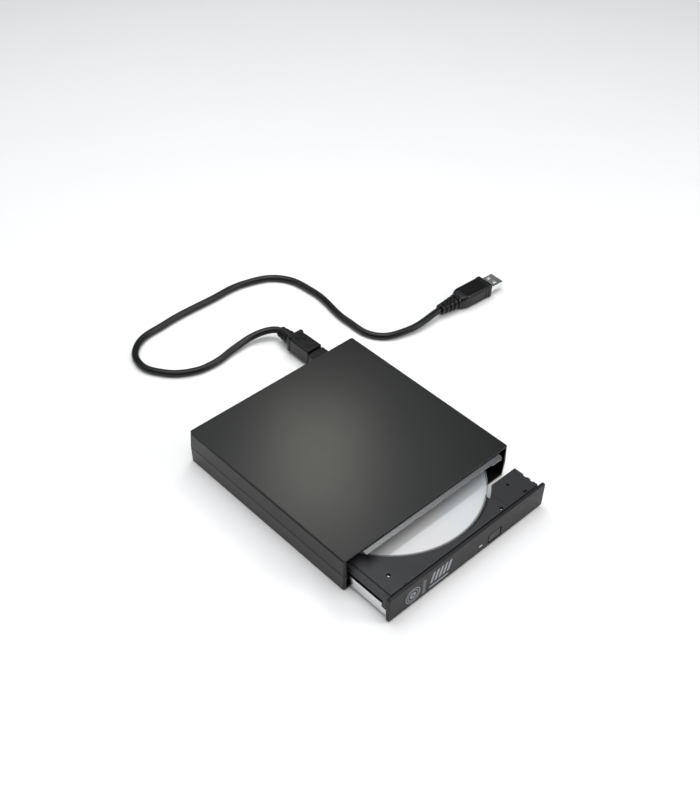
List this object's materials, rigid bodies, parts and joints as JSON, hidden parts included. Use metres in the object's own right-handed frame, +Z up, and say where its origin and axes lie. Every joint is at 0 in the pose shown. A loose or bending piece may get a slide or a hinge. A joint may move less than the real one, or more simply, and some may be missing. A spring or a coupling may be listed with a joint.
{
  "type": "external optical drive",
  "caption": "Slim external optical drive in a black case, with a sliding disc tray, spindle, pickup, eject button and a plug-in data cable.",
  "frame": {"origin": "centre of the enclosure's plan, on the flat underside of its bottom cover", "axes": "+X to the right of the tray's front, -Y out of the front, +Z up"},
  "size_m": [0.2744, 0.2843, 0.0245],
  "materials": {
    "shell": "satin black coat with a fine grain",
    "tray_plastic": "finely textured dark grey",
    "bezel_plastic": "finely textured dark grey",
    "button_plastic": "satin",
    "led_lens": "clear diffusing light guide",
    "rubber": "matte",
    "sheet_steel": "rolled, zinc grey",
    "blackened_steel": "thin black oxide",
    "bright_steel": "nickel bright",
    "disc": "silvered polycarbonate",
    "cable_jacket": "semi-gloss soft vinyl",
    "circuit_board": "green solder mask",
    "resin": "moulded resin",
    "copper": "enamelled winding",
    "white_plastic": "natural acetal",
    "spindle_plastic": "smooth",
    "lens_glass": "polished",
    "flex_film": "polyimide film"
  },
  "bodies": {
    "enclosure": {"top_cover": "shell", "bottom_cover": "shell", "foot_1": "rubber", "foot_2": "rubber", "foot_3": "rubber", "foot_4": "rubber", "cover_screw_1": "bright_steel", "cover_screw_2": "bright_steel", "bridge_board": "circuit_board", "bridge_chip": "resin", "usb_socket": "bright_steel", "drive_connector": "resin", "drive_case": "blackened_steel", "drive_top_plate": "sheet_steel", "latch_post": "bright_steel", "rail_guide_left": "white_plastic", "flex_cable": "flex_film", "drive_plug": "cable_jacket", "drive_plug_shell": "bright_steel", "usb_cable": "cable_jacket", "usb_a_plug": "cable_jacket", "usb_a_shell": "bright_steel", "usb_a_tongue": "white_plastic"},
    "left_rail": {"rail_left": "bright_steel"},
    "right_rail": {"rail_right": "bright_steel"},
    "tray_unit": {"tray": "tray_plastic", "bezel": "bezel_plastic", "led_lens": "led_lens", "tray_screw_left": "bright_steel", "tray_screw_right": "bright_steel", "tray_shield": "sheet_steel", "main_board": "circuit_board", "front_board": "circuit_board", "eject_switch": "resin", "chassis": "sheet_steel", "damper_1": "rubber", "damper_2": "rubber", "damper_3": "rubber", "damper_screw_1": "bright_steel", "damper_screw_2": "bright_steel", "damper_screw_3": "bright_steel", "spindle_motor": "sheet_steel", "motor_coils": "copper", "guide_rod_1": "bright_steel", "guide_rod_2": "bright_steel", "feed_motor": "sheet_steel", "latch_solenoid": "copper"},
    "button": {"eject_button": "button_plastic"},
    "rotor": {"turntable": "spindle_plastic", "clamp_hub": "spindle_plastic", "disc": "disc"},
    "jaw_1": {"clamp_jaw_1": "white_plastic"},
    "jaw_2": {"clamp_jaw_2": "white_plastic"},
    "jaw_3": {"clamp_jaw_3": "white_plastic"},
    "pickup": {"pickup_sled": "resin"},
    "lens": {"objective_lens": "lens_glass"},
    "feed_screw": {"lead_screw": "bright_steel"},
    "plunger": {"latch_plunger": "bright_steel"},
    "lever": {"latch_lever": "white_plastic"}
  },
  "joints": [
    {"name": "rail_left_slide", "type": "slide", "parent": "enclosure", "child": "left_rail", "axis": [0, -1, 0], "range_m": [-0.0295, 0.04]},
    {"name": "rail_right_slide", "type": "slide", "parent": "enclosure", "child": "right_rail", "axis": [0, -1, 0], "range_m": [-0.0295, 0.04]},
    {"name": "tray_slide", "type": "slide", "parent": "left_rail", "child": "tray_unit", "axis": [0, -1, 0], "range_m": [0, 0.048]},
    {"name": "eject_button_press", "type": "slide", "parent": "tray_unit", "child": "button", "axis": [0, 1, 0], "range_m": [0, 0.0008], "stiffness_N_per_m": 400, "springref_m": -0.001},
    {"name": "spindle_spin", "type": "hinge", "parent": "tray_unit", "child": "rotor", "pos_m": [0, -0.03125, 0.012], "axis": [0, 0, 1], "continuous": true},
    {"name": "clamp_jaw_1_slide", "type": "slide", "parent": "rotor", "child": "jaw_1", "axis": [-0.7071, 0.7071, 0], "range_m": [-0.0008, 0], "stiffness_N_per_m": 300, "springref_m": 0.001},
    {"name": "clamp_jaw_2_slide", "type": "slide", "parent": "rotor", "child": "jaw_2", "axis": [-0.2588, -0.9659, 0], "range_m": [-0.0008, 0]},
    {"name": "clamp_jaw_3_slide", "type": "slide", "parent": "rotor", "child": "jaw_3", "axis": [0.9659, 0.2588, 0], "range_m": [-0.0008, 0]},
    {"name": "pickup_feed", "type": "slide", "parent": "tray_unit", "child": "pickup", "axis": [-0.7071, -0.7071, 0], "range_m": [-0.016, 0.016]},
    {"name": "lead_screw_spin", "type": "hinge", "parent": "tray_unit", "child": "feed_screw", "pos_m": [-0.00424, -0.06943, 0.00955], "axis": [-0.7071, -0.7071, 0], "range_deg": [-1930, 1930]},
    {"name": "lens_focus", "type": "slide", "parent": "pickup", "child": "lens", "axis": [0, 0, 1], "range_m": [-0.0004, 0.0005], "stiffness_N_per_m": 60},
    {"name": "latch_lever_swing", "type": "hinge", "parent": "tray_unit", "child": "lever", "pos_m": [0.03, -0.07925, 0.0097], "axis": [0, 0, 1], "range_deg": [0, 11.46]},
    {"name": "latch_plunger_slide", "type": "slide", "parent": "tray_unit", "child": "plunger", "axis": [1, 0, 0], "range_m": [0, 0.0012]}
  ],
  "couplings": [
    {"joint": "rail_right_slide", "follows": "rail_left_slide", "ratio": 1},
    {"joint": "clamp_jaw_2_slide", "follows": "clamp_jaw_1_slide", "ratio": 1},
    {"joint": "clamp_jaw_3_slide", "follows": "clamp_jaw_1_slide", "ratio": 1},
    {"joint": "lead_screw_spin", "follows": "pickup_feed", "rad_per_m": 2094.4},
    {"joint": "latch_lever_swing", "follows": "latch_plunger_slide", "rad_per_m": 166.67}
  ]
}
